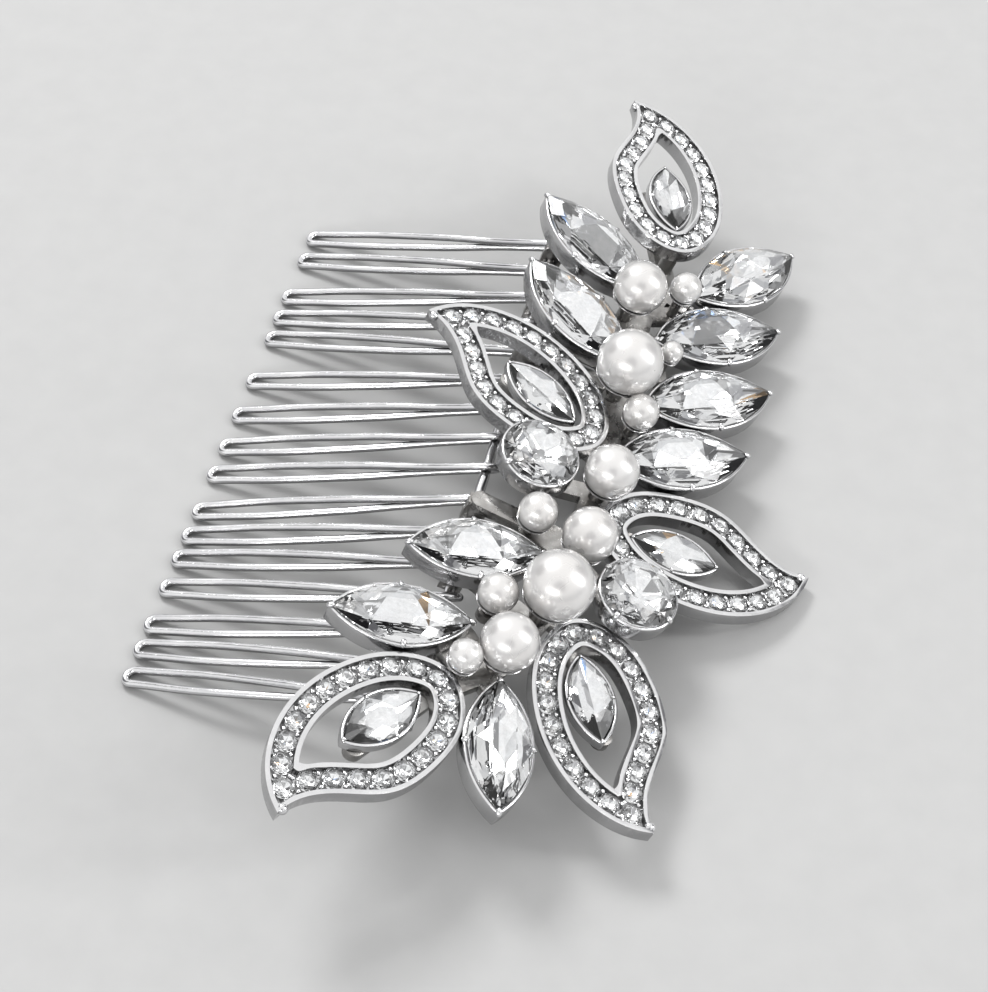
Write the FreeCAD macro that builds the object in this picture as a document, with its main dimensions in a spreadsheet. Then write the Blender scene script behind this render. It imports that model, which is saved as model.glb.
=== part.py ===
import FreeCAD, Part
import math
import os
import Sketcher

os.makedirs("parts", exist_ok=True)
doc = FreeCAD.newDocument("hair_comb")
V = FreeCAD.Vector
ALONG_Y = V(0, 1, 0)
ALONG_Z = V(0, 0, 1)

# ---------------------------------------------------------------- driving dimensions (mm, degrees)
# The comb lies like a low tent: the tooth tips touch the table on the -X side, the spray of
# flowers slopes down to +X until its outermost leaf touches the table. Y runs along the spine.
SIZES = {
    "ridge_height": (12.01, "top of the branch above the table at the ridge"),
    "ridge_across": (0.32, "ridge point from the centre of the footprint"),
    "ridge_along": (-9.3, "ridge point from the centre of the footprint"),
    "spray_tilt": (18.5, "slope of the spray down to +X"),
    "branch_thick": (1.3, "cast branch plate"),
    "stem_width": (3.2, "main stem of the branch"),
    "twig_width": (2.2, "side twigs of the branch"),
    "leaf_twig": (13.5, "twig under a leaf"),
    "navette_twig": (11.0, "twig under a large navette"),
    "post_overlap": (0.3, "post into the branch plate"),
    "round_post_dia": (2.6, "post under a large round stone"),
    "spine_dia": (1.2, "spine rod of the comb"),
    "spine_across": (-1.3, "spine rod from the ridge, along the spray plane"),
    "spine_drop": (3.3, "spine rod below the top of the branch"),
    "wire_dia": (0.95, "comb wire"),
    "tooth_pitch": (4.83, "from tooth to tooth along the spine"),
    "first_tooth": (44.8, "first tooth from the ridge point, along the spine"),
    "tooth_reach": (35.5, "spine rod to the centre of the tip bend"),
    "tip_bend": (0.95, "radius of the bend at a tooth tip"),
    "tooth_bow": (1.12, "half the widest spread of the two strands"),
    "crossing": (8.5, "spine rod to the crossing of the strands"),
    "crossing_rise": (0.53, "upper strand above mid plane at the crossing"),
    "eye_half": (0.75, "half the sideways shift round the spine rod"),
    "eye_rise": (1.12, "strand above the middle of the spine rod"),
    "leaf_height": (1.9, "leaf frame over its rims"),
    "leaf_floor": (0.9, "leaf frame under its stones"),
    "leaf_band": (3.4, "leaf frame from its outside to its opening"),
    "leaf_rim": (0.5, "raised rim of a leaf frame"),
    "pave_dia": (2.3, "small round stone"),
    "petal_length": (17.0, "largest navette stone"),
    "petal_width": (8.0, "largest navette stone"),
    "navette_length": (15.0, "large navette stone"),
    "navette_width": (7.0, "large navette stone"),
    "navette_cup": (2.6, "large navette setting, height"),
    "navette_depth": (2.85, "large navette stone, scale of its lower facets"),
    "navette_rise": (3.8, "large navette stone, over the floor of its setting"),
    "bud_length": (10.0, "leaf navette stone"),
    "bud_width": (5.0, "leaf navette stone"),
    "bud_cup": (1.35, "leaf navette setting, height"),
    "bud_depth": (1.0, "leaf navette stone, scale of its lower facets"),
    "bud_rise": (1.25, "leaf navette stone, over the floor of its setting"),
    "round_dia": (8.5, "large round stone"),
    "round_cup": (2.4, "large round setting, height"),
    "round_girdle": (1.35, "large round stone, floor of its setting to the girdle"),
    "round_rise": (3.6, "large round stone, over the floor of its setting"),
    "wall": (0.45, "wall of a stone setting"),
    "cup_floor": (0.7, "floor of a stone setting"),
    "glue": (0.05, "glue gap round a stone or a pearl"),
    "peg_dia": (1.0, "peg that a pearl is glued to"),
    "pearl_rim": (0.3, "rim of a pearl cup outside the pearl"),
    "pearl_foot": (0.5, "foot of a pearl cup under its pearl"),
    "lug_width": (1.5, "lug between two teeth"),
    "lug_length": (2.6, "lug across the spine rod"),
}
sheet = doc.addObject("Spreadsheet::Sheet", "Sizes")
for row, (alias, (value, note)) in enumerate(SIZES.items(), 1):
    sheet.set(f"A{row}", note)
    sheet.set(f"B{row}", str(value))
    sheet.setAlias(f"B{row}", alias)
doc.recompute()


def size(alias):
    return float(sheet.get(alias))


def bind(obj, **expressions):
    for prop, expression in expressions.items():
        obj.setExpression(prop, expression)
    return obj


# ---------------------------------------------------------------- frames
RIDGE = V(size("ridge_across"), size("ridge_along"), size("ridge_height"))
SPRAY = FreeCAD.Placement(RIDGE, FreeCAD.Rotation(ALONG_Y, size("spray_tilt")))
SPINE = SPRAY.multVec(V(size("spine_across"), 0, -size("spine_drop")))


def turned(degrees):
    return FreeCAD.Rotation(ALONG_Z, degrees)


def on_spray(across, along, lift=0.0, heading=0.0):
    """A place on top of the branch: across and along the spray, turned to a heading."""
    return SPRAY * FreeCAD.Placement(V(across, along, lift), turned(heading))


# ---------------------------------------------------------------- layout of the spray
# Leaves: base point (across, along), heading from the base to the tip, and lift over the branch.
LEAVES = [(13.2, 43.6, 115.5, 3.3), (10.1, 11.9, 159, 0), (12.1, 0.9, 8, 0), (0.9, -25.9, -119, 0),
          (12.2, -13.4, -58, 0)]
# Large navettes: base point, heading from the base to the tip, and which size of stone.
NAVETTES = [(10.4, 37.4, 149, "petal"), (10.3, 24.7, 145, "petal"), (16.8, 39.8, 51, "petal"),
            (13.1, 30.2, 32, "petal"), (13.8, 19.4, 33, "petal"), (11.9, 9.4, 29, "petal"),
            (7.0, -7.0, -160, "navette"), (1.5, -19.3, -163, "navette"), (5.9, -24.8, -77, "navette")]
BUD_IN_LEAF = (4.1, -0.6, -6)
# Round stones: centre and the lift of the setting on its post.
ROUNDS = [(3.1, 4.7, 2.2), (17.9, -9.0, 2.2)]
# Pearls: centre, diameter and the lift of the cup.
PEARLS = [(9.1, 34.5, 6.6, 1.9), (14.8, 37.9, 4.0, 2.65), (10.1, 21.4, 8.0, 1.9), (15.1, 27.3, 2.8, 2.65),
          (13.3, 16.7, 4.4, 1.4), (11.5, 5.6, 6.4, 1.4), (4.8, -2.7, 4.6, 0.8), (10.9, -4.2, 6.4, 1.4),
          (8.7, -13.4, 8.0, 2.0), (3.0, -15.2, 4.6, 0.8), (5.4, -21.8, 6.5, 1.4), (1.4, -25.0, 3.8, 2.0)]
STEM = [(13.6, 43.6), (11.2, 36.0), (10.8, 22.0), (11.4, 6.0), (10.6, -4.0), (8.6, -13.4), (5.4, -21.6),
        (1.4, -25.6)]
# Twigs from the stem out to the pieces that stand beside it.
TWIGS = [((11.2, 36.0), (14.8, 37.9)), ((10.8, 27.3), (15.1, 27.3)), ((10.8, 19.5), (13.3, 16.7)),
         ((11.4, 6.0), (3.1, 4.7)), ((10.6, -4.0), (4.8, -2.7)), ((10.6, -4.0), (17.9, -9.0)),
         ((8.6, -13.4), (3.0, -15.2))]
# Posts under a lifted leaf: turn from its heading, distance from its base, radius.
LEAF_POSTS = [(0, 1.6, 1.0), (-6, 9.4, 0.8)]
# Radius of the post under a pearl, as a share of the pearl's diameter.
PEARL_POST = 0.16
# Gaps between teeth that hold a lug, counted from the first gap.
LUG_GAPS = (1, 3, 5, 10, 12, 14)
# How far each tooth tip has been bent along the spine.
TOOTH_LEAN = (3.1, 3.6, 1.3, 2.2, 3.2, 0.3, -0.9, -1.5, -1.2, -2.4, -1.4, -0.1, 0.3, -0.3, 1.0, 1.9)

nodes = []


def keep(obj, label):
    """Mark a document object as one sub-part of the ornament."""
    obj.Label = label
    nodes.append(obj)
    return obj


# ---------------------------------------------------------------- comb: spine rod and wire teeth
def tooth_place(number):
    along = RIDGE.y + size("first_tooth") - number * size("tooth_pitch")
    tip_height = size("wire_dia") / 2
    slope = math.degrees(math.asin((SPINE.z - tip_height) / size("tooth_reach")))
    lean = math.degrees(math.atan(TOOTH_LEAN[number] / size("tooth_reach")))
    start = V(SPINE.x, along, SPINE.z)
    return FreeCAD.Placement(start, FreeCAD.Rotation(ALONG_Y, -slope) * turned(-lean))


def eye_point(angle):
    """Point on the eye that curls round the spine rod: 0 at the back, 90 degrees on top."""
    top = V(0, -size("eye_half"), size("eye_rise"))
    return V(top.Length * math.cos(angle), 0, 0) + top * math.sin(angle)


def half_tooth():
    """Upper strand: half of the eye, the run over the crossing, a quarter of the tip bend."""
    reach = size("tooth_reach")
    bend = size("tip_bend")
    butt = math.radians(3)
    eye = Part.Arc(eye_point(butt), eye_point(math.radians(45)), eye_point(math.radians(90)))
    ahead = V(-1, 0, 0)
    run = Part.BSplineCurve()
    run.interpolate(
        [eye_point(math.radians(90)), V(-size("crossing"), 0, size("crossing_rise")),
         V(-0.4 * reach, 0.42 * size("tooth_bow"), 0.8 * size("crossing_rise")),
         V(-0.58 * reach, 0.8 * size("tooth_bow"), 0.3 * size("crossing_rise")),
         V(-0.78 * reach, size("tooth_bow"), 0),
         V(bend - reach, bend, 0)],
        InitialTangent=ahead, FinalTangent=ahead)
    corner = bend * math.sqrt(0.5)
    tip = Part.Arc(V(bend - reach, bend, 0), V(bend - reach - corner, corner, 0), V(-reach, 0, 0))
    return [eye.toShape(), run.toShape(), tip.toShape()]


def tooth_spine():
    """The lower strand is the upper one turned over about the middle line of the tooth."""
    upper = half_tooth()
    lower = [edge.copy() for edge in upper]
    for edge in lower:
        edge.rotate(V(0, 0, 0), V(1, 0, 0), 180)
    path = doc.addObject("Part::Feature", "ToothPath")
    path.Shape = Part.Wire(Part.__sortEdges__(upper + lower))
    return path


def make_comb():
    rod = keep(doc.addObject("Part::Cylinder", "SpineRod"), "spine_rod")
    bind(rod, Radius="Sizes.spine_dia / 2", Height="Sizes.tooth_pitch * 16.4")
    rod.Placement = FreeCAD.Placement(
        V(SPINE.x, RIDGE.y + size("first_tooth") + 0.7 * size("tooth_pitch"), SPINE.z),
        FreeCAD.Rotation(V(1, 0, 0), 90))
    path = tooth_spine()
    section = doc.addObject("Part::Circle", "ToothSection")
    bind(section, Radius="Sizes.wire_dia / 2")
    first = path.Shape.OrderedEdges[0]
    start = path.Shape.OrderedVertexes[0].Point
    tangent = first.tangentAt(first.FirstParameter)
    section.Placement = FreeCAD.Placement(start, FreeCAD.Rotation(ALONG_Z, tangent))
    for number in range(len(TOOTH_LEAN)):
        tooth = doc.addObject("Part::Sweep", f"Tooth{number + 1}")
        tooth.Sections = [section]
        tooth.Spine = (path, [f"Edge{i + 1}" for i in range(len(path.Shape.Edges))])
        tooth.Solid = True
        tooth.Frenet = False
        tooth.Placement = tooth_place(number)
        keep(tooth, f"tooth_{number + 1:02d}")


# ---------------------------------------------------------------- cast branch with posts and lugs
def plate(start, end, width, name="Twig"):
    """A straight piece of the branch plate with a round pad at its far end."""
    run = V(end[0] - start[0], end[1] - start[1], 0)
    heading = math.degrees(math.atan2(run.y, run.x))
    strip = doc.addObject("Part::Box", name)
    strip.Length = run.Length
    bind(strip, Width=f"Sizes.{width}", Height="Sizes.branch_thick")
    shift = V(0, -size(width) / 2, -size("branch_thick"))
    strip.Placement = on_spray(start[0], start[1], 0, heading) * FreeCAD.Placement(shift, turned(0))
    pad = doc.addObject("Part::Cylinder", name + "Pad")
    bind(pad, Radius=f"Sizes.{width} / 2", Height="Sizes.branch_thick")
    pad.Placement = on_spray(end[0], end[1], -size("branch_thick"))
    return [strip, pad]


def ahead_of(base, heading, distance):
    angle = math.radians(heading)
    return (base[0] + distance * math.cos(angle), base[1] + distance * math.sin(angle))


def nearest_on_stem(point):
    best = None
    for (ax, ay), (bx, by) in zip(STEM, STEM[1:]):
        along = V(bx - ax, by - ay, 0)
        share = (V(point[0] - ax, point[1] - ay, 0) * along) / along.Length ** 2
        share = min(1.0, max(0.0, share))
        foot = (ax + share * along.x, ay + share * along.y)
        gap = math.dist(foot, point)
        if best is None or gap < best[0]:
            best = (gap, foot)
    return best[1]


def post(across, along, lift, radius):
    stub = doc.addObject("Part::Cylinder", "Post")
    stub.Radius = radius
    stub.Height = lift + size("post_overlap")
    stub.Placement = on_spray(across, along, -size("post_overlap"))
    return stub


def lug(gap):
    """A block from the branch down round the spine rod, in the gap between two teeth."""
    along = size("first_tooth") - (gap - 0.5) * size("tooth_pitch")
    block = doc.addObject("Part::Box", "Lug")
    bind(block, Length="Sizes.lug_length", Width="Sizes.lug_width",
         Height="Sizes.spine_drop + Sizes.spine_dia - 0.3")
    depth = size("spine_drop") + size("spine_dia")
    block.Placement = on_spray(size("spine_across") - size("lug_length") / 2,
                               along - size("lug_width") / 2, -depth)
    foot = nearest_on_stem((size("spine_across"), along))
    return [block] + plate(foot, (size("spine_across"), along), "twig_width")


def make_branch():
    pieces = []
    for start, end in zip(STEM, STEM[1:]):
        pieces += plate(start, end, "stem_width", "Stem")
    for start, end in TWIGS:
        pieces += plate(start, end, "twig_width")
    for base_x, base_y, heading, lift in LEAVES:
        base = (base_x, base_y)
        if lift:
            for turn, distance, radius in LEAF_POSTS:
                pieces.append(post(*ahead_of(base, heading + turn, distance), lift, radius))
        pieces += plate(nearest_on_stem(base), base, "twig_width")
        pieces += plate(base, ahead_of(base, heading - 3, size("leaf_twig")), "twig_width")
    for base_x, base_y, heading, kind in NAVETTES:
        base = (base_x, base_y)
        pieces += plate(nearest_on_stem(base), base, "twig_width")
        pieces += plate(base, ahead_of(base, heading, size("navette_twig")), "twig_width")
    for across, along, lift in ROUNDS:
        pieces.append(post(across, along, lift, size("round_post_dia") / 2))
    for across, along, dia, lift in PEARLS:
        pieces.append(post(across, along, lift, PEARL_POST * dia))
    for gap in LUG_GAPS:
        pieces += lug(gap)
    solid = doc.addObject("Part::MultiFuse", "BranchSolid")
    solid.Shapes = pieces
    bore = doc.addObject("Part::Cylinder", "SpineBore")
    bind(bore, Radius="Sizes.spine_dia / 2", Height="Sizes.tooth_pitch * 18")
    bore.Placement = FreeCAD.Placement(
        V(SPINE.x, RIDGE.y + size("first_tooth") + 1.5 * size("tooth_pitch"), SPINE.z),
        FreeCAD.Rotation(V(1, 0, 0), 90))
    branch = keep(doc.addObject("Part::Cut", "Branch"), "branch")
    branch.Base = solid
    branch.Tool = bore


# ---------------------------------------------------------------- open leaf frames
def leaf_curve():
    """Outside of a leaf: round base at the origin, hooked tip on +X, full on the -Y side."""
    points = [V(26, 0, 0), V(23.8, -4.1, 0), V(20.4, -6.8, 0), V(14.2, -8.6, 0), V(7.5, -7.8, 0),
              V(2.4, -4.9, 0), V(0, 0, 0), V(3.0, 4.7, 0), V(9.0, 6.5, 0), V(15.4, 5.6, 0),
              V(19.8, 2.2, 0), V(26, 0, 0)]
    curve = Part.BSplineCurve()
    curve.interpolate(points)
    return curve


def leaf_inset(distance, count=72):
    """The leaf outline moved inwards, as points from the tip round to the tip."""
    curve = leaf_curve()
    edge = curve.toShape()
    kept = []
    for step in range(count + 1):
        value = curve.FirstParameter + (curve.LastParameter - curve.FirstParameter) * step / count
        point = curve.value(value)
        ahead = curve.tangent(value)[0]
        inner = point + V(ahead.y, -ahead.x, 0) * distance
        if edge.distToShape(Part.Vertex(inner))[0] > distance - 0.02:
            kept.append(inner)
    return kept


def closed_loop(points):
    """A smooth closed wire with one corner, at the tip of the leaf."""
    tip = max(points, key=lambda point: point.x)
    first = points.index(tip)
    order = points[first:] + points[:first]
    curve = Part.BSplineCurve()
    curve.interpolate(order + [tip])
    return Part.Wire(curve.toShape())


def leaf_prism(name, wire, base, height):
    outline = doc.addObject("Part::Feature", name + "Outline")
    outline.Shape = wire
    prism = doc.addObject("Part::Extrusion", name)
    prism.Base = outline
    prism.DirMode = "Custom"
    prism.Dir = ALONG_Z
    prism.Solid = True
    bind(prism, LengthFwd=height)
    prism.Placement = FreeCAD.Placement(V(0, 0, base), turned(0))
    return prism


def cut(name, base, tool):
    result = doc.addObject("Part::Cut", name)
    result.Base = base
    result.Tool = tool
    return result


def leaf_wires():
    band = size("leaf_band")
    rim = size("leaf_rim")
    outer = Part.Wire(leaf_curve().toShape())
    return [outer] + [closed_loop(leaf_inset(inset)) for inset in (rim, band - rim, band)]


def make_leaf_frame(number, wires, base_x, base_y, heading, lift):
    outer, rim_in, rim_out, opening = wires
    channel_height = "Sizes.leaf_height - Sizes.leaf_floor + 0.5"
    name = f"Leaf{number}"
    floor = size("leaf_floor")
    body = leaf_prism(name + "Body", outer, 0, "Sizes.leaf_height")
    window = leaf_prism(name + "Window", opening, -0.5, "Sizes.leaf_height + 1")
    channel = leaf_prism(name + "Channel", rim_in, floor, channel_height)
    island = leaf_prism(name + "Island", rim_out, floor, channel_height)
    groove = cut(name + "Groove", channel, island)
    open_body = cut(name + "Open", body, window)
    frame = keep(cut(name + "Frame", open_body, groove), f"leaf_frame_{number}")
    frame.Placement = on_spray(base_x, base_y, lift, heading)


# ---------------------------------------------------------------- stones
def ring(half_length, half_width, sides, pointed, scale, height):
    """Closed polygon round a stone: a pointed oval between two arcs, or a circle."""
    corners = []
    for side in range(sides):
        angle = 2 * math.pi * side / sides
        if pointed:
            fullness = math.copysign(1 - abs(math.cos(angle)) ** 2, math.sin(angle))
            corner = V(half_length * math.cos(angle), half_width * fullness, 0)
        else:
            corner = V(half_length * math.cos(angle), half_width * math.sin(angle), 0)
        corners.append(corner * scale + V(0, 0, height))
    return Part.makePolygon(corners + corners[:1])


def stone(length, width, sides, pointed, levels):
    """A cut stone: straight-sided facets between rings given as (share of the girdle, height)."""
    rings = [ring(length / 2, width / 2, sides, pointed, scale, height) for scale, height in levels]
    return Part.makeLoft(rings, True, True)


def navette_stone(length, width, depth, rise):
    floor = size("cup_floor")
    girdle = floor + 0.55 * depth
    return stone(length, width, 16, True,
                 [(0.5, floor), (1.0, girdle), (1.0, girdle + 0.12 * depth), (0.52, floor + rise)])


def make_large_navettes():
    for number, (base_x, base_y, heading, kind) in enumerate(NAVETTES, 1):
        length = size(kind + "_length")
        gem = keep(doc.addObject("Part::Feature", f"Navette{number}"), f"navette_{number}")
        gem.Shape = navette_stone(length, size(kind + "_width"), size("navette_depth"), size("navette_rise"))
        middle = ahead_of((base_x, base_y), heading, length / 2 + size("wall"))
        gem.Placement = on_spray(middle[0], middle[1], 0, heading)


def bud_place(base_x, base_y, heading, lift):
    shift, side, turn = BUD_IN_LEAF
    start = FreeCAD.Placement(V(shift, side, 0), turned(turn))
    middle = FreeCAD.Placement(V(size("bud_length") / 2 + size("wall"), 0, 0), turned(0))
    return on_spray(base_x, base_y, lift, heading) * start * middle


def make_bud_navettes():
    gems = []
    for leaf in LEAVES:
        gem = navette_stone(size("bud_length"), size("bud_width"), size("bud_depth"), size("bud_rise"))
        gem.Placement = bud_place(*leaf)
        gems.append(gem)
    buds = keep(doc.addObject("Part::Feature", "LeafNavettes"), "leaf_navettes")
    buds.Shape = Part.Compound(gems)


def make_round_stones():
    dia = size("round_dia")
    floor = size("cup_floor")
    girdle = floor + size("round_girdle")
    levels = [(0.45, floor), (1.0, girdle), (1.0, girdle + 0.4), (0.58, floor + size("round_rise"))]
    for number, (across, along, lift) in enumerate(ROUNDS, 1):
        gem = keep(doc.addObject("Part::Feature", f"Round{number}"), f"round_stone_{number}")
        gem.Shape = stone(dia, dia, 16, False, levels)
        gem.Placement = on_spray(across, along, lift)


def make_pave(number, base_x, base_y, heading, lift):
    middle = closed_loop(leaf_inset(size("leaf_band") / 2))
    dia = size("pave_dia")
    floor = size("leaf_floor")
    count = int(middle.Length / (dia + 0.3))
    spots = middle.discretize(count + 1)[:-1]
    gems = []
    for spot in spots:
        gem = stone(dia, dia, 8, False,
                    [(0.6, floor), (1.0, floor + 0.5), (1.0, floor + 0.65), (0.58, floor + 1.15)])
        gem.translate(spot)
        gems.append(gem)
    pave = keep(doc.addObject("Part::Feature", f"Pave{number}"), f"leaf_stones_{number}")
    pave.Shape = Part.Compound(gems)
    pave.Placement = on_spray(base_x, base_y, lift, heading)


# ---------------------------------------------------------------- stone settings
def origin_plane(body, role):
    return next(item for item in body.Origin.OriginFeatures if item.Role == role)


def flat_sketch(body, name, height=0.0):
    sketch = body.newObject("Sketcher::SketchObject", name)
    sketch.AttachmentSupport = [(origin_plane(body, "XY_Plane"), "")]
    sketch.MapMode = "FlatFace"
    sketch.AttachmentOffset = FreeCAD.Placement(V(0, 0, height), turned(0))
    return sketch


def draw_navette(sketch, length, width):
    """A pointed oval: two arcs that meet in sharp tips on the X axis."""
    half = length / 2
    rise = width / 2
    radius = (half ** 2 + rise ** 2) / (2 * rise)
    sweep = math.asin(half / radius)
    quarter = math.pi / 2
    low = Part.Circle(V(0, rise - radius, 0), ALONG_Z, radius)
    high = Part.Circle(V(0, radius - rise, 0), ALONG_Z, radius)
    sketch.addGeometry(Part.ArcOfCircle(low, quarter - sweep, quarter + sweep), False)
    sketch.addGeometry(Part.ArcOfCircle(high, 3 * quarter - sweep, 3 * quarter + sweep), False)
    sketch.addConstraint(Sketcher.Constraint("Coincident", 0, 2, 1, 1))
    sketch.addConstraint(Sketcher.Constraint("Coincident", 0, 1, 1, 2))
    sketch.addConstraint(Sketcher.Constraint("Radius", 0, radius))
    sketch.addConstraint(Sketcher.Constraint("Radius", 1, radius))


def draw_round(sketch, dia):
    sketch.addGeometry(Part.Circle(V(0, 0, 0), ALONG_Z, dia / 2), False)
    sketch.addConstraint(Sketcher.Constraint("Coincident", 0, 3, -1, 1))
    sketch.addConstraint(Sketcher.Constraint("Radius", 0, dia / 2))


def setting(name, draw, height, place):
    """A flat-bottomed cup for a stone: a pad with a pocket down to its floor."""
    body = doc.addObject("PartDesign::Body", name)
    outside = flat_sketch(body, name + "Outside")
    draw(outside, size("wall"))
    pad = body.newObject("PartDesign::Pad", name + "Pad")
    pad.Profile = outside
    bind(pad, Length=height)
    inside = flat_sketch(body, name + "Inside")
    draw(inside, size("glue") / 2)
    inside.setExpression("AttachmentOffset.Base.z", height)
    pocket = body.newObject("PartDesign::Pocket", name + "Pocket")
    pocket.Profile = inside
    bind(pocket, Length=f"{height} - Sizes.cup_floor")
    body.Placement = place
    return body


def navette_drawer(length, width):
    def draw(sketch, margin):
        draw_navette(sketch, length + 2.6 * margin, width + 2 * margin)
    return draw


def round_drawer(dia):
    def draw(sketch, margin):
        draw_round(sketch, dia + 2 * margin)
    return draw


def group(name, label, members):
    bundle = keep(doc.addObject("Part::Compound", name), label)
    bundle.Links = members
    return bundle


def make_settings():
    cups = []
    for number, (base_x, base_y, heading, kind) in enumerate(NAVETTES, 1):
        length = size(kind + "_length")
        middle = ahead_of((base_x, base_y), heading, length / 2 + size("wall"))
        place = on_spray(middle[0], middle[1], 0, heading)
        draw = navette_drawer(length, size(kind + "_width"))
        cups.append(setting(f"NavetteCup{number}", draw, "Sizes.navette_cup", place))
    group("NavetteCups", "navette_settings", cups)
    small = navette_drawer(size("bud_length"), size("bud_width"))
    buds = [setting(f"BudCup{number}", small, "Sizes.bud_cup", bud_place(*leaf))
            for number, leaf in enumerate(LEAVES, 1)]
    group("BudCups", "leaf_navette_settings", buds)
    rounds = [setting(f"RoundCup{number}", round_drawer(size("round_dia")), "Sizes.round_cup",
                      on_spray(across, along, lift))
              for number, (across, along, lift) in enumerate(ROUNDS, 1)]
    group("RoundCups", "round_settings", rounds)


# ---------------------------------------------------------------- pearls and their cups
def pearl_height(dia):
    """Centre of a pearl above the foot of its cup."""
    return size("pearl_foot") + size("glue") + dia / 2


def make_pearl(number, across, along, dia, lift):
    ball = doc.addObject("Part::Sphere", f"Ball{number}")
    ball.Radius = dia / 2
    drill = doc.addObject("Part::Cylinder", f"Drill{number}")
    bind(drill, Radius="Sizes.peg_dia / 2 + Sizes.glue")
    drill.Height = 0.72 * dia
    drill.Placement = FreeCAD.Placement(V(0, 0, -0.6 * dia), turned(0))
    pearl = keep(cut(f"Pearl{number}", ball, drill), f"pearl_{number:02d}")
    pearl.Placement = on_spray(across, along, lift + pearl_height(dia))


def pearl_cup(number, across, along, dia, lift):
    """A cone dished to the pearl, with the peg that goes up into the pearl's hole."""
    rise = 0.18 * dia
    reach = math.sqrt((dia / 2) ** 2 - (dia / 2 - rise) ** 2)
    cone = doc.addObject("Part::Cone", f"CupCone{number}")
    cone.Radius1 = 0.2 * dia
    bind(cone, Height=f"Sizes.pearl_foot + {rise:.3f}")
    bind(cone, Radius2=f"Sizes.pearl_rim + {reach:.3f}")
    seat = doc.addObject("Part::Sphere", f"CupSeat{number}")
    bind(seat, Radius=f"Sizes.glue + {dia / 2}")
    seat.Placement = FreeCAD.Placement(V(0, 0, pearl_height(dia)), turned(0))
    peg = doc.addObject("Part::Cylinder", f"Peg{number}")
    bind(peg, Radius="Sizes.peg_dia / 2")
    bind(peg, Height=f"Sizes.pearl_foot + {0.55 * dia:.3f}")
    cup = doc.addObject("Part::Fuse", f"PearlCup{number}")
    cup.Base = cut(f"CupDish{number}", cone, seat)
    cup.Tool = peg
    cup.Placement = on_spray(across, along, lift)
    return cup


def make_pearls():
    cups = {"large": [], "medium": [], "small": []}
    for number, (across, along, dia, lift) in enumerate(PEARLS, 1):
        make_pearl(number, across, along, dia, lift)
        kind = "large" if dia > 7 else "medium" if dia > 6 else "small"
        cups[kind].append(pearl_cup(number, across, along, dia, lift))
    for kind, members in cups.items():
        group(f"Cups_{kind}", f"pearl_cups_{kind}", members)


# ---------------------------------------------------------------- build
make_comb()
make_branch()
LEAF_WIRES = leaf_wires()
for number, leaf in enumerate(LEAVES, 1):
    make_leaf_frame(number, LEAF_WIRES, *leaf)
    make_pave(number, *leaf)
make_settings()
make_large_navettes()
make_bud_navettes()
make_round_stones()
make_pearls()
doc.recompute()

# ---------------------------------------------------------------- check and write
for obj in doc.Objects:
    if "Invalid" in obj.State or "Error" in obj.State:
        raise RuntimeError(f"{obj.Name} failed: {obj.State}")
for obj in nodes:
    if obj.Shape.isNull() or not obj.Shape.isValid():
        raise RuntimeError(f"{obj.Label} has no valid shape")
    if not obj.Shape.Solids:
        raise RuntimeError(f"{obj.Label} has no solid")
for obj in nodes:
    obj.Shape.exportStep(f"parts/{obj.Label}.step")
print(len(nodes), "nodes written")
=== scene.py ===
import math
import random
from collections import namedtuple

import bmesh
import bpy
from mathutils import Matrix, Vector, noise


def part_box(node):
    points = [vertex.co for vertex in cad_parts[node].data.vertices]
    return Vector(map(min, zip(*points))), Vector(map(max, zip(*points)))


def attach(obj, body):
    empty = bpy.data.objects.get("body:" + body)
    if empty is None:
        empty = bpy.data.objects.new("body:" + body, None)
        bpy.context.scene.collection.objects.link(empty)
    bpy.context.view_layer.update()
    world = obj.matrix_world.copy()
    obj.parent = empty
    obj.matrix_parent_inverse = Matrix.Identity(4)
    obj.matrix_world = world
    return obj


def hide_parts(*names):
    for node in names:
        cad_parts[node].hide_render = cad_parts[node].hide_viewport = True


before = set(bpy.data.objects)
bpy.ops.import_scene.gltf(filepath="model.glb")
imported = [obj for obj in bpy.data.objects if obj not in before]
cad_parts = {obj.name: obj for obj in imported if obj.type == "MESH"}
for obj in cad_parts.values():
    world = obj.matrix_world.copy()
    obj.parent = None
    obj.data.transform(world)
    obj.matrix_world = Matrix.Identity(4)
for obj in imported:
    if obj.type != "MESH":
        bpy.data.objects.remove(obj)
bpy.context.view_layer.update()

# ---------------------------------------------------------------- the shared frame
MM = 0.001
SPRAY_TILT = math.radians(18.5)
ACROSS = Vector((math.cos(SPRAY_TILT), 0, -math.sin(SPRAY_TILT)))
ALONG = Vector((0, 1, 0))
NORMAL = Vector((math.sin(SPRAY_TILT), 0, math.cos(SPRAY_TILT)))
SPRAY = Matrix((ACROSS, ALONG, NORMAL)).transposed()
NODES = sorted(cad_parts)
RIDGE = Vector((0.32 * MM, -9.3 * MM, 12.01 * MM))
UP = Vector((0, 0, 1))
WELD = 0.001 * MM

# ---------------------------------------------------------------- sizes of the fine work
# How far each casting's sharp edges are rolled over, and which corners count as sharp.
FRAME_ROLL = 0.21 * MM
SETTING_ROLL = 0.19 * MM
CUP_ROLL = 0.06 * MM
BRANCH_ROLL = 0.18 * MM
SHARP_CORNER = math.radians(35)
FLAT_CORNER = math.radians(1.0)
# Faces that meet at less than this are shaded as one smooth surface.
SMOOTH_CASTING = math.radians(40)
SMOOTH_ALL = math.radians(180)

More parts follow.
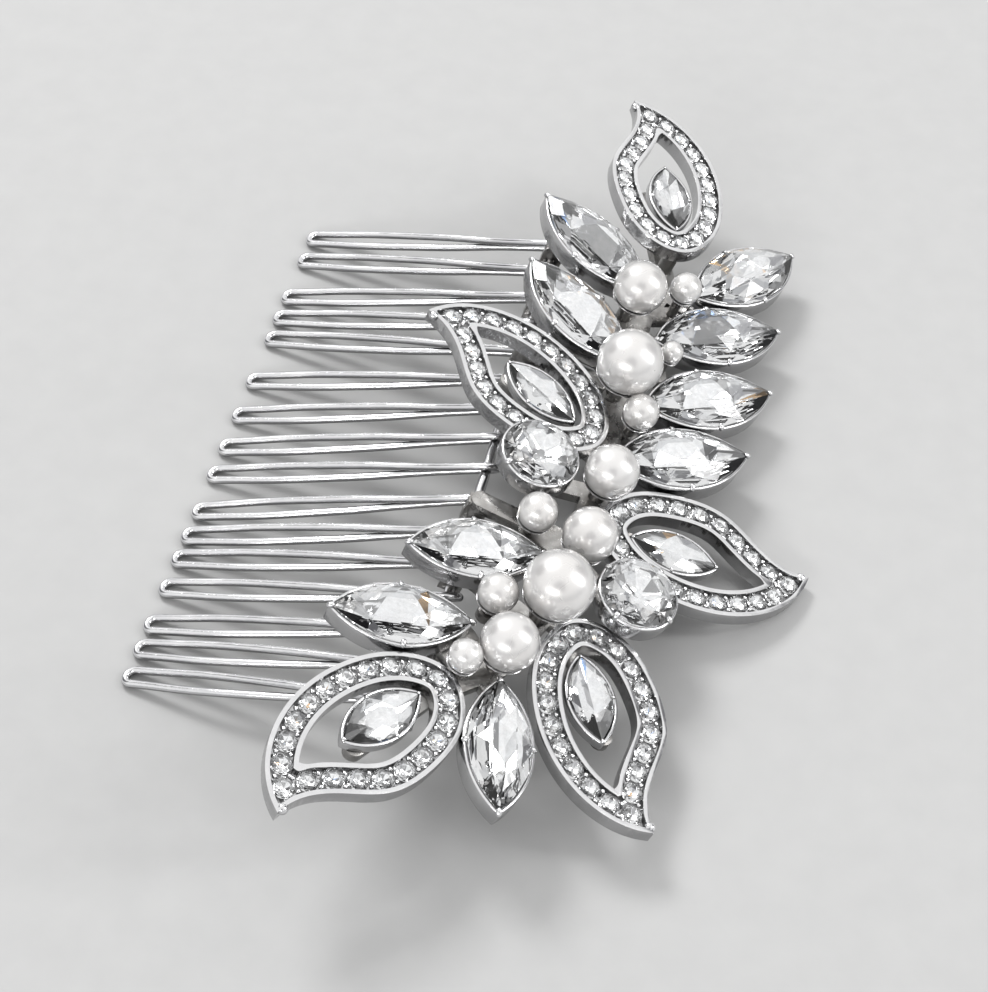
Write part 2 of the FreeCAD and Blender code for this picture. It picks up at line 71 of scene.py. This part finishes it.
GRAIN_RADIUS = 0.27 * MM
GRAIN_SIDE = 0.78 * MM
GRAIN_SINK = 0.05 * MM
CLAW_REACH = 0.42 * MM
CLAW_WIDTH = 0.36 * MM
CLAW_RISE = 0.42 * MM
CLAW_LEAN = 0.45
SMALL_CLAW = 0.6
NAVETTE_CLAWS = (0, 90, 180, 270)
ROUND_CLAWS = (20, 110, 200, 290)
TIP_RADIUS = 0.62 * MM
TIP_INSET = 0.85 * MM
TIP_SINK = 0.42 * MM

# How a stone is cut. Shares are of the girdle's size, rises of the crown and drops of the pavilion.
Cut = namedtuple("Cut", "pointed table star star_rise waist waist_drop foot foot_corners dark_share")
NAVETTE_CUT = Cut(True, 0.44, 0.80, 0.52, 0.60, 0.55, 0.38, 2, 0.18)
ROUND_CUT = Cut(False, 0.54, 0.80, 0.60, 0.60, 0.50, 0.12, 8, 0.30)
OVERHANG = 1.045
GIRDLE_CORNERS = 16
FACETS = 8
FACET_FLATNESS = math.radians(0.6)
FOIL_GAP = 0.015 * MM

# Painted tones of the foil behind the facets, bright and dark like the reflections of a cut stone, and how
# many of the small facets get a painted glint of colour.
BRIGHT_FACETS = (0.90, 1.0)
DARK_FACETS = (0.22, 0.60)
BLUE_PAINTED_GLINT = (0.45, 0.64, 1.0)
AMBER_PAINTED_GLINT = (1.0, 0.70, 0.42)
BLUE_BELOW = 0.05
AMBER_BELOW = 0.09

PEARL_SHARE = 0.997
PEARL_WOBBLE = 0.001

# Dark gaps in the tent round the comb: the middle of each, the cosines where it starts and is full,
# and how bright it is inside.
Gap = namedtuple("Gap", "middle start full left")
SKY_GAPS = [Gap((0.14, -0.70, 0.70), 0.92, 0.97, 0.30), Gap((-0.85, 0.25, 0.45), 0.93, 0.97, 0.15),
            Gap((0.75, 0.60, 0.40), 0.94, 0.98, 0.15)]


def named(prefix):
    return [node for node in NODES if node.startswith(prefix)]


def islands(node):
    """The separate solids of a CAD node, each as a list of points in the spray's own axes.

    They come in order of their lowest corner along the spine, so that every run gives the same.
    """
    bm = bmesh.new()
    bm.from_mesh(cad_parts[node].data)
    bmesh.ops.remove_doubles(bm, verts=bm.verts, dist=WELD)
    reached = set()
    found = []
    for start in bm.verts:
        if start in reached:
            continue
        reached.add(start)
        stack = [start]
        group = []
        while stack:
            vert = stack.pop()
            group.append(SPRAY.transposed() @ vert.co)
            for edge in vert.link_edges:
                other = edge.other_vert(vert)
                if other not in reached:
                    reached.add(other)
                    stack.append(other)
        found.append(group)
    bm.free()
    found.sort(key=lambda group: min((round(point.y, 5), round(point.x, 5)) for point in group))
    return found


class Seat:
    """Where a cut stone sits: its middle, heading, half length, half width and its four levels."""

    END_SHARE = 0.97

    def __init__(self, points):
        low = Vector((min(p.x for p in points), min(p.y for p in points), 0))
        high = Vector((max(p.x for p in points), max(p.y for p in points), 0))
        middle = (low + high) / 2
        flat = [Vector((p.x - middle.x, p.y - middle.y, 0)) for p in points]
        far = max(flat, key=lambda p: (p.length, p.y, p.x))
        self.heading = math.atan2(far.y, far.x)
        turn = Matrix.Rotation(-self.heading, 3, "Z")
        local = [turn @ p for p in flat]
        self.half_length = max(abs(p.x) for p in local)
        self.half_width = max(abs(p.y) for p in local)
        self.middle = middle
        heights = sorted({round(p.z, 6) for p in points})
        self.base = heights[0]
        self.table = heights[-1]
        ends = [p.z for p, q in zip(points, local) if abs(q.x) > self.END_SHARE * self.half_length]
        self.girdle_low = min(ends)
        self.girdle_high = max(ends)

    def place(self):
        """Local axes of the stone: X along its length, Z away from the branch, heights as in the spray."""
        spot = Vector((self.middle.x, self.middle.y, 0))
        turn = Matrix.Rotation(self.heading, 4, "Z")
        return SPRAY.to_4x4() @ Matrix.Translation(spot) @ turn


# ---------------------------------------------------------------- node materials
def new_material(name):
    material = bpy.data.materials.new(name)
    material.use_nodes = True
    tree = material.node_tree
    tree.nodes.clear()
    output = tree.nodes.new("ShaderNodeOutputMaterial")
    shader = tree.nodes.new("ShaderNodeBsdfPrincipled")
    tree.links.new(shader.outputs["BSDF"], output.inputs["Surface"])
    return material, tree, shader


def noise_node(tree, scale, detail=4.0, roughness=0.55, stretch=None):
    """Noise in the object's own metres; stretch squeezes it along an axis."""
    coords = tree.nodes.new("ShaderNodeTexCoord")
    texture = tree.nodes.new("ShaderNodeTexNoise")
    texture.inputs["Scale"].default_value = scale
    texture.inputs["Detail"].default_value = detail
    texture.inputs["Roughness"].default_value = roughness
    if stretch is None:
        tree.links.new(coords.outputs["Object"], texture.inputs["Vector"])
    else:
        mapping = tree.nodes.new("ShaderNodeMapping")
        mapping.inputs["Scale"].default_value = stretch
        tree.links.new(coords.outputs["Object"], mapping.inputs["Vector"])
        tree.links.new(mapping.outputs["Vector"], texture.inputs["Vector"])
    return texture


def ramp(tree, source, low, high, start=0.3, end=0.7):
    """A value or colour that runs from low to high as the source goes from start to end."""
    node = tree.nodes.new("ShaderNodeValToRGB")
    node.color_ramp.elements[0].position = start
    node.color_ramp.elements[1].position = end
    for element, value in zip(node.color_ramp.elements, (low, high)):
        element.color = (value, value, value, 1) if isinstance(value, float) else (*value, 1)
    tree.links.new(source, node.inputs["Fac"])
    return node.outputs["Color"]


def blend_colors(tree, mode, factor, first, second):
    node = tree.nodes.new("ShaderNodeMix")
    node.data_type = "RGBA"
    node.blend_type = mode
    if isinstance(factor, float):
        node.inputs["Factor"].default_value = factor
    else:
        tree.links.new(factor, node.inputs["Factor"])
    for socket, value in ((node.inputs[6], first), (node.inputs[7], second)):
        if isinstance(value, tuple):
            socket.default_value = (*value, 1)
        else:
            tree.links.new(value, socket)
    return node.outputs[2]


def multiply(tree, first, second):
    return blend_colors(tree, "MULTIPLY", 1.0, first, second)


def bump(tree, height, strength, distance, under=None):
    node = tree.nodes.new("ShaderNodeBump")
    node.inputs["Strength"].default_value = strength
    node.inputs["Distance"].default_value = distance
    tree.links.new(height, node.inputs["Height"])
    if under is not None:
        tree.links.new(under, node.inputs["Normal"])
    return node.outputs["Normal"]


def recess_shade(tree, distance, dark):
    """Painted shade: grey that sinks to dark where faces stand close together and shade falls between them.
    """
    occlusion = tree.nodes.new("ShaderNodeAmbientOcclusion")
    occlusion.inputs["Distance"].default_value = distance
    occlusion.samples = 6
    return ramp(tree, occlusion.outputs["AO"], dark, 1.0, start=0.25, end=0.85)


def wall_shade(tree, upward, dark, start, end):
    """Painted shade: grey that sinks to dark on faces turned away from a fixed direction, the way side walls
    fall out of the light.
    """
    geometry = tree.nodes.new("ShaderNodeNewGeometry")
    dot = tree.nodes.new("ShaderNodeVectorMath")
    dot.operation = "DOT_PRODUCT"
    dot.inputs[1].default_value = upward
    tree.links.new(geometry.outputs["Normal"], dot.inputs[0])
    return ramp(tree, dot.outputs["Value"], dark, 1.0, start, end)


def casting(name, low, high, smooth, rough, ripple):
    """Rhodium-plated casting with ripples and grain; painted shade greys its recesses and darkens its side
    walls, so its top edges stay bright.
    """
    material, tree, shader = new_material(name)
    cloud = noise_node(tree, scale=420.0)
    tint = ramp(tree, cloud.outputs["Fac"], low, high)
    # Painted shade: dark in the recesses and on the side walls, multiplied into the casting's colour.
    painted_recess_shade = recess_shade(tree, distance=0.6 * MM, dark=0.34)
    painted_wall_shade = wall_shade(tree, NORMAL, dark=0.48, start=0.05, end=0.70)
    shade = multiply(tree, painted_recess_shade, painted_wall_shade)
    tree.links.new(multiply(tree, tint, shade), shader.inputs["Base Color"])
    shader.inputs["Metallic"].default_value = 1.0
    patches = noise_node(tree, scale=900.0, detail=5.0)
    tree.links.new(ramp(tree, patches.outputs["Fac"], smooth, rough), shader.inputs["Roughness"])
    ripples = noise_node(tree, scale=650.0, detail=2.0)
    grain = noise_node(tree, scale=5200.0, detail=3.0)
    soft = bump(tree, ripples.outputs["Fac"], strength=ripple, distance=0.06 * MM)
    fine = bump(tree, grain.outputs["Fac"], strength=0.16, distance=0.012 * MM, under=soft)
    tree.links.new(fine, shader.inputs["Normal"])
    return material


def comb_wire():
    """Drawn wire under rhodium: fine lines along it, patches that are a little duller, and painted shade
    that darkens its recesses and its sides below the bright top.
    """
    material, tree, shader = new_material("comb_wire")
    cloud = noise_node(tree, scale=260.0)
    tint = ramp(tree, cloud.outputs["Fac"], (0.84, 0.84, 0.855), (0.96, 0.96, 0.965))
    # Painted shade: dark in the recesses and on the sides of the wire, multiplied into its colour.
    painted_recess_shade = recess_shade(tree, distance=0.5 * MM, dark=0.5)
    painted_wall_shade = wall_shade(tree, UP, dark=0.32, start=0.0, end=0.7)
    shade = multiply(tree, painted_recess_shade, painted_wall_shade)
    tree.links.new(multiply(tree, tint, shade), shader.inputs["Base Color"])
    shader.inputs["Metallic"].default_value = 1.0
    patches = noise_node(tree, scale=500.0, detail=3.0)
    tree.links.new(ramp(tree, patches.outputs["Fac"], 0.10, 0.24), shader.inputs["Roughness"])
    lines = noise_node(tree, scale=4200.0, detail=2.0, roughness=0.5, stretch=(0.03, 1.0, 1.0))
    scratches = bump(tree, lines.outputs["Fac"], strength=0.2, distance=0.01 * MM)
    tree.links.new(scratches, shader.inputs["Normal"])
    return material


def crystal():
    """Clear cut glass, with a thin film that greys and dulls it in patches."""
    material, tree, shader = new_material("crystal")
    shader.inputs["Transmission Weight"].default_value = 1.0
    shader.inputs["IOR"].default_value = 1.58
    film = noise_node(tree, scale=700.0, detail=3.0)
    dullness = ramp(tree, film.outputs["Fac"], 0.0, 0.02, start=0.45, end=0.75)
    tree.links.new(dullness, shader.inputs["Roughness"])
    tint = ramp(tree, film.outputs["Fac"], (0.965, 0.975, 0.985), (1.0, 1.0, 1.0))
    tree.links.new(tint, shader.inputs["Base Color"])
    return material


def foil():
    """Mirror foil behind a stone; each facet has its own painted grey, a few painted blue or amber, and the
    foil glows faintly in these tones as painted light.
    """
    material, tree, shader = new_material("foil")
    shader.inputs["Metallic"].default_value = 1.0
    facet = tree.nodes.new("ShaderNodeAttribute")
    facet.attribute_name = "facet_tint"
    wear = noise_node(tree, scale=1500.0, detail=4.0)
    shade = ramp(tree, wear.outputs["Fac"], 0.8, 1.0)
    tree.links.new(multiply(tree, facet.outputs["Color"], shade), shader.inputs["Base Color"])
    tree.links.new(ramp(tree, wear.outputs["Fac"], 0.02, 0.07), shader.inputs["Roughness"])
    # Painted light: the foil glows faintly in its facet tones, though it is no lamp.
    tree.links.new(facet.outputs["Color"], shader.inputs["Emission Color"])
    shader.inputs["Emission Strength"].default_value = 0.20
    return material


def pearl():
    """Nacre: warm white with painted shade that greys it toward the rim as it turns from the view, a soft
    sheen under a glossy coat, faint growth marks.
    """
    material, tree, shader = new_material("pearl")
    facing = tree.nodes.new("ShaderNodeLayerWeight")
    facing.inputs["Blend"].default_value = 0.35
    # Painted shade: the colour sinks from warm white to grey toward the rim, as seen from the view.
    body = ramp(tree, facing.outputs["Facing"], (0.84, 0.83, 0.82), (0.34, 0.335, 0.33),
                start=0.25, end=0.92)
    cloud = noise_node(tree, scale=220.0, detail=2.0)
    blush = ramp(tree, cloud.outputs["Fac"], (0.985, 0.975, 0.965), (1.0, 1.0, 1.0))
    tree.links.new(multiply(tree, body, blush), shader.inputs["Base Color"])
    shader.inputs["Metallic"].default_value = 0.5
    sheen = noise_node(tree, scale=300.0, detail=2.0)
    tree.links.new(ramp(tree, sheen.outputs["Fac"], 0.26, 0.30), shader.inputs["Roughness"])
    shader.inputs["Coat Weight"].default_value = 1.0
    shader.inputs["Coat Roughness"].default_value = 0.05
    shader.inputs["Coat IOR"].default_value = 1.6
    growth = noise_node(tree, scale=400.0, detail=1.0)
    marks = bump(tree, growth.outputs["Fac"], strength=0.05, distance=0.004 * MM)
    tree.links.new(marks, shader.inputs["Normal"])
    return material


def paper_floor():
    """Matt pale paper with faint fibres."""
    material, tree, shader = new_material("pale_floor")
    fibres = noise_node(tree, scale=240.0, detail=6.0)
    tint = ramp(tree, fibres.outputs["Fac"], (0.495, 0.495, 0.493), (0.515, 0.515, 0.512))
    tree.links.new(tint, shader.inputs["Base Color"])
    shader.inputs["Roughness"].default_value = 0.85
    tooth = bump(tree, fibres.outputs["Fac"], strength=0.1, distance=0.05 * MM)
    tree.links.new(tooth, shader.inputs["Normal"])
    return material


CASTING = casting("silver_casting", low=(0.88, 0.88, 0.89), high=(0.97, 0.97, 0.975),
                  smooth=0.10, rough=0.26, ripple=0.35)
# A darker copy of the casting for the branch: painted shade for where it lies beneath the stones and leaves;
# it is also rougher.
SHADED_CASTING = casting("shaded_casting", low=(0.36, 0.345, 0.33), high=(0.72, 0.71, 0.69),
                      smooth=0.20, rough=0.42, ripple=0.9)
WIRE = comb_wire()
CRYSTAL = crystal()
FOIL = foil()
PEARL = pearl()


# ---------------------------------------------------------------- mesh helpers
def add_piece(name, bm, material, replaced=None, smooth_below=None):
    """Turn a bmesh into a piece of the comb that rides on the root body."""
    if smooth_below is not None:
        for face in bm.faces:
            face.smooth = True
        for edge in bm.edges:
            edge.smooth = len(edge.link_faces) == 2 and edge.calc_face_angle(math.pi) < smooth_below
    mesh = bpy.data.meshes.new(name)
    bm.to_mesh(mesh)
    bm.free()
    mesh.materials.append(material)
    piece = bpy.data.objects.new(name, mesh)
    bpy.context.scene.collection.objects.link(piece)
    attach(piece, "root")
    if replaced:
        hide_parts(replaced)
    return piece


def add_metal(name, bm, replaced=None, smooth_below=SMOOTH_ALL, material=CASTING):
    """Add a piece of silver casting."""
    add_piece(name, bm, material, replaced, smooth_below)


def ball(radius, subdivisions):
    """A ball of triangles round the origin."""
    bm = bmesh.new()
    bmesh.ops.create_icosphere(bm, subdivisions=subdivisions, radius=radius)
    return bm


def merge_into(bm, part, place):
    """Move one bmesh by a matrix and put it into another."""
    bmesh.ops.transform(part, matrix=place, verts=part.verts)
    mesh = bpy.data.meshes.new("scratch")
    part.to_mesh(mesh)
    part.free()
    bm.from_mesh(mesh)
    bpy.data.meshes.remove(mesh)


def dress(node, material):
    """Give a carried-over CAD node its material."""
    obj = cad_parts[node]
    if obj.material_slots:
        for slot in obj.material_slots:
            slot.material = material
    else:
        obj.data.materials.append(material)


def rounded_copy(node, width, segments=2):
    """A CAD node's solid again, with its sharp edges rolled over as casting and polishing leave them."""
    bm = bmesh.new()
    bm.from_mesh(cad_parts[node].data)
    bmesh.ops.remove_doubles(bm, verts=bm.verts, dist=2 * WELD)
    bmesh.ops.dissolve_limit(bm, angle_limit=FLAT_CORNER, verts=bm.verts, edges=bm.edges)
    sharp = [edge for edge in bm.edges
             if len(edge.link_faces) == 2 and edge.calc_face_angle(0.0) > SHARP_CORNER]
    bmesh.ops.bevel(bm, geom=sharp, offset=width, segments=segments, profile=0.5,
                    affect="EDGES", clamp_overlap=True)
    bmesh.ops.recalc_face_normals(bm, faces=bm.faces)
    return bm


# ---------------------------------------------------------------- cut stones
def oval(angle, pointed):
    """A point on the girdle of unit size: a circle, or two arcs that meet in points."""
    if pointed:
        return Vector((math.cos(angle), math.sin(angle) * abs(math.sin(angle)), 0))
    return Vector((math.cos(angle), math.sin(angle), 0))


def gem_points(seat, pointed, levels):
    """Corners of the rings in levels, each given as (share of the girdle, height, corners, half step on)."""
    points = []
    for share, height, corners, shifted in levels:
        half_step = 0.5 if shifted else 0.0
        for corner in range(corners):
            angle = 2 * math.pi * (corner + half_step) / corners
            rim = oval(angle, pointed) * share
            points.append(Vector((rim.x * seat.half_length, rim.y * seat.half_width, height)))
    return points


def hull(points):
    """The convex solid round the points, with its flat facets in one piece each."""
    bm = bmesh.new()
    verts = [bm.verts.new(point) for point in points]
    made = bmesh.ops.convex_hull(bm, input=verts)
    loose = [item for item in made["geom_interior"] if isinstance(item, bmesh.types.BMVert)]
    bmesh.ops.delete(bm, geom=loose, context="VERTS")
    bmesh.ops.dissolve_limit(bm, angle_limit=FACET_FLATNESS, verts=bm.verts, edges=bm.edges)
    return bm


def crown_levels(seat, cut):
    """Table, star and girdle; the girdle stands a little out over the rim of the setting."""
    table = seat.table - 0.02 * MM
    edge = seat.girdle_high + 0.10 * (seat.table - seat.girdle_high)
    star = edge + cut.star_rise * (table - edge)
    return [(cut.table, table, FACETS, True),
            (cut.star, star, FACETS, False),
            (OVERHANG, edge, GIRDLE_CORNERS, False),
            (OVERHANG, seat.girdle_high + 0.03 * MM, GIRDLE_CORNERS, False)]


def pavilion_levels(seat, cut):
    """Long facets that run down to a keel under a navette, or to a small culet under a round."""
    waist = seat.girdle_low - cut.waist_drop * (seat.girdle_low - seat.base)
    return [(0.995, seat.girdle_low, GIRDLE_CORNERS, False),
            (cut.waist, waist, FACETS, True),
            (cut.foot, seat.base + 0.06 * MM, cut.foot_corners, False)]


def foil_shell(seat, cut):
    """The foil: the stone's lower facets again, a hair below the glass and open on top."""
    levels = [(share, height - FOIL_GAP, *rest) for share, height, *rest in pavilion_levels(seat, cut)]
    bm = hull(gem_points(seat, cut.pointed, levels))
    bm.normal_update()
    lids = [face for face in bm.faces if face.normal.z > 0.9]
    bmesh.ops.delete(bm, geom=lids, context="FACES")
    return bm


def tint_facets(mesh, rng, dark_share):
    """Give every facet its own painted tone, bright or dark at random like a cut stone's reflections, kept
    as a colour attribute; only small facets get painted glints of blue or amber.
    """
    attribute = mesh.color_attributes.new("facet_tint", "FLOAT_COLOR", "CORNER")
    usual = sum(polygon.area for polygon in mesh.polygons) / len(mesh.polygons)
    for polygon in mesh.polygons:
        grey = rng.uniform(*BRIGHT_FACETS)
        if rng.random() < dark_share:
            grey = rng.uniform(*DARK_FACETS)
        flash = rng.random() if polygon.area < usual else 1.0
        tone = (1.0, 1.0, 1.0)
        if flash < BLUE_BELOW:
            tone = BLUE_PAINTED_GLINT
        elif flash < AMBER_BELOW:
            tone = AMBER_PAINTED_GLINT
        for loop in polygon.loop_indices:
            attribute.data[loop].color = (*(grey * share for share in tone), 1)


def make_stones(node, cut, seed):
    """All stones of a CAD node as cut glass in one piece, and their foils in another."""
    glass = bmesh.new()
    backing = bmesh.new()
    for points in islands(node):
        seat = Seat(points)
        levels = crown_levels(seat, cut) + pavilion_levels(seat, cut)
        merge_into(glass, hull(gem_points(seat, cut.pointed, levels)), seat.place())
        merge_into(backing, foil_shell(seat, cut), seat.place())
    add_piece(f"{node}_cut", glass, CRYSTAL, node)
    shell = add_piece(f"{node}_foil", backing, FOIL)
    tint_facets(shell.data, random.Random(seed), cut.dark_share)


# ---------------------------------------------------------------- pearls
def make_pearl(node):
    """A ball that is a touch out of round, each pearl in its own way, in the place of the CAD's pearl."""
    low, high = (Vector(corner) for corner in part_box(node))
    centre = (low + high) / 2
    radius = (high.z - low.z) / 2
    bm = ball(1.0, subdivisions=5)
    shift = Vector((centre.y, centre.x, centre.z)) * 900
    for vert in bm.verts:
        wobble = noise.noise(vert.co * 1.1 + shift)
        vert.co *= radius * (PEARL_SHARE + PEARL_WOBBLE * wobble)
    bmesh.ops.transform(bm, matrix=Matrix.Translation(centre), verts=bm.verts)
    add_piece(f"{node}_nacre", bm, PEARL, node, SMOOTH_ALL)


# ---------------------------------------------------------------- build the comb
def make_metal():
    """The castings again with rolled edges, and the wires as the CAD made them."""
    for node in named("leaf_frame"):
        add_metal(f"{node}_cast", rounded_copy(node, FRAME_ROLL, segments=3), node, SMOOTH_CASTING)
    for node in ("navette_settings", "leaf_navette_settings", "round_settings"):
        add_metal(f"{node}_cast", rounded_copy(node, SETTING_ROLL, segments=3), node, SMOOTH_CASTING)
    for node in named("pearl_cups"):
        add_metal(f"{node}_cast", rounded_copy(node, CUP_ROLL), node, SMOOTH_CASTING)
    # The branch takes the darker copy of the casting as painted shade.
    add_metal("branch_cast", rounded_copy("branch", BRANCH_ROLL), "branch", SMOOTH_CASTING, SHADED_CASTING)
    for node in named("tooth") + ["spine_rod"]:
        dress(node, WIRE)


def make_grains():
    """Small beads of metal raised between neighbouring stones of a leaf, on both sides."""
    bm = bmesh.new()
    for node in named("leaf_stones"):
        seats = [Seat(points) for points in islands(node)]
        for seat in seats:
            others = sorted((s for s in seats if s is not seat),
                            key=lambda s: (s.middle - seat.middle).length)[:2]
            for other in others:
                if (other.middle.x, other.middle.y) < (seat.middle.x, seat.middle.y):
                    continue
                between = (seat.middle + other.middle) / 2
                run = (other.middle - seat.middle).normalized()
                side = Vector((-run.y, run.x, 0))
                for sign in (-1, 1):
                    spot = between + side * sign * GRAIN_SIDE
                    spot.z = seat.girdle_high - GRAIN_SINK
                    bead = ball(GRAIN_RADIUS, subdivisions=2)
                    merge_into(bm, bead, SPRAY.to_4x4() @ Matrix.Translation(spot))
    add_metal("leaf_grains", bm)


def claw(reach, width, rise):
    """A rounded claw tip that leans in over the edge of a stone; X points away from the stone."""
    bm = ball(1.0, subdivisions=3)
    for vert in bm.verts:
        x, y, z = vert.co
        vert.co = Vector(((x - CLAW_LEAN * z) * reach, y * width, z * rise))
    return bm


def make_claws():
    """Claw tips over the girdles: at both points and both flanks of a navette, four round a round."""
    bm = bmesh.new()
    large = [node for node in named("navette_") if node != "navette_settings"]
    for node in large + ["leaf_navettes"] + named("round_stone"):
        pointed = not node.startswith("round")
        angles = NAVETTE_CLAWS if pointed else ROUND_CLAWS
        scale = SMALL_CLAW if node == "leaf_navettes" else 1.0
        for points in islands(node):
            seat = Seat(points)
            for angle in angles:
                rim = oval(math.radians(angle), pointed)
                spot = Vector((rim.x * seat.half_length, rim.y * seat.half_width, 0)) * OVERHANG
                spot.z = seat.girdle_high
                turn = Matrix.Rotation(math.radians(angle), 4, "Z")
                tip = claw(CLAW_REACH * scale, CLAW_WIDTH * scale, CLAW_RISE * scale)
                merge_into(bm, tip, seat.place() @ Matrix.Translation(spot) @ turn)
    add_metal("claws", bm)


def make_leaf_tips():
    """A small ball that blunts the tip of each leaf frame, where the casting was fed and filed."""
    bm = bmesh.new()
    for number, node in enumerate(named("leaf_frame"), 1):
        points = [point for group in islands(node) for point in group]
        stones = [Seat(group).middle for group in islands(f"leaf_stones_{number}")]
        middle = sum(stones, Vector()) / len(stones)
        tip = max(points, key=lambda p: (Vector((p.x, p.y, 0)) - middle).length)
        top = max(point.z for point in points)
        inward = (middle - Vector((tip.x, tip.y, 0))).normalized()
        spot = Vector((tip.x, tip.y, top - TIP_SINK)) + inward * TIP_INSET
        merge_into(bm, ball(TIP_RADIUS, subdivisions=3), SPRAY.to_4x4() @ Matrix.Translation(spot))
    add_metal("leaf_tips", bm)


def make_comb():
    """Every piece of the comb; each stone node has a seed of its own for the tones of its facets."""
    make_metal()
    make_leaf_tips()
    make_grains()
    make_claws()
    for number, node in enumerate(named("navette_")):
        if node != "navette_settings":
            make_stones(node, NAVETTE_CUT, seed=10 + number)
    make_stones("leaf_navettes", NAVETTE_CUT, seed=40)
    for number, node in enumerate(named("round_stone")):
        make_stones(node, ROUND_CUT, seed=50 + number)
    for number, node in enumerate(named("leaf_stones")):
        make_stones(node, ROUND_CUT, seed=60 + number)
    for node in NODES:
        if node.startswith("pearl_") and not node.startswith("pearl_cups"):
            make_pearl(node)


# ---------------------------------------------------------------- studio
def make_floor():
    """A plain square floor; from the photograph's angle its edges are out of the picture."""
    bm = bmesh.new()
    half = 0.6
    corners = [bm.verts.new((x * half, y * half, 0)) for x, y in ((-1, -1), (1, -1), (1, 1), (-1, 1))]
    bm.faces.new(corners)
    mesh = bpy.data.meshes.new("floor")
    bm.to_mesh(mesh)
    bm.free()
    mesh.materials.append(paper_floor())
    floor = bpy.data.objects.new("floor", mesh)
    bpy.context.scene.collection.objects.link(floor)


def softbox(name, spot, width, height, power):
    """A rectangular lamp that points at the comb."""
    light = bpy.data.lights.new(name, "AREA")
    light.shape = "RECTANGLE"
    light.size = width
    light.size_y = height
    light.energy = power
    lamp = bpy.data.objects.new(name, light)
    bpy.context.scene.collection.objects.link(lamp)
    lamp.location = spot
    target = Vector((0, 0, 10 * MM))
    lamp.rotation_euler = (target - Vector(spot)).to_track_quat("-Z", "Y").to_euler()


def facing_zone(tree, direction, middle, start, end):
    """One inside a round zone of the sky and zero outside it."""
    dot = tree.nodes.new("ShaderNodeVectorMath")
    dot.operation = "DOT_PRODUCT"
    dot.inputs[1].default_value = Vector(middle).normalized()
    tree.links.new(direction, dot.inputs[0])
    return ramp(tree, dot.outputs["Value"], 0.0, 1.0, start, end)


def make_sky():
    """A white tent: bright overhead, greyer toward the table, with dark gaps where it is open."""
    world = bpy.data.worlds.new("studio")
    bpy.context.scene.world = world
    world.use_nodes = True
    tree = world.node_tree
    background = tree.nodes["Background"]
    coords = tree.nodes.new("ShaderNodeTexCoord")
    direction = coords.outputs["Generated"]
    split = tree.nodes.new("ShaderNodeSeparateXYZ")
    tree.links.new(direction, split.inputs["Vector"])
    sky = ramp(tree, split.outputs["Z"], (0.42, 0.43, 0.45), (1.0, 1.0, 1.0), start=0.03, end=0.38)
    for gap in SKY_GAPS:
        zone = facing_zone(tree, direction, gap.middle, gap.start, gap.full)
        sky = blend_colors(tree, "MIX", zone, sky, (gap.left, gap.left, 1.06 * gap.left))
    tree.links.new(sky, background.inputs["Color"])
    background.inputs["Strength"].default_value = 0.85


def make_lights():
    """Three softboxes, in metres and watts, inside the tent."""
    softbox("key_softbox", spot=(-0.30, 0.30, 0.55), width=0.22, height=0.22, power=2.4)
    softbox("side_softbox", spot=(0.50, 0.05, 0.30), width=0.10, height=0.40, power=1.2)
    softbox("front_strip", spot=(-0.10, -0.55, 0.30), width=0.40, height=0.06, power=0.9)
    make_sky()


def make_camera():
    """Look down on the spray from in front and a little to the right of the teeth."""
    azimuth = math.radians(13)
    elevation = math.radians(50)
    distance = 237.5 * MM
    right = Vector((math.cos(azimuth), math.sin(azimuth), 0))
    back = Vector((math.sin(azimuth) * math.cos(elevation), -math.cos(azimuth) * math.cos(elevation),
                   math.sin(elevation)))
    up = back.cross(right)
    camera = bpy.data.cameras.new("camera")
    camera.sensor_fit = "HORIZONTAL"
    camera.sensor_width = 36.0
    camera.lens = 76.15
    camera.clip_start = 0.01
    viewer = bpy.data.objects.new("camera", camera)
    bpy.context.scene.collection.objects.link(viewer)
    turn = Matrix((right, up, back)).transposed().to_4x4()
    viewer.matrix_world = Matrix.Translation(RIDGE + back * distance) @ turn
    bpy.context.scene.camera = viewer


bpy.context.scene.view_settings.view_transform = "Standard"
make_comb()
make_floor()
make_lights()
make_camera()
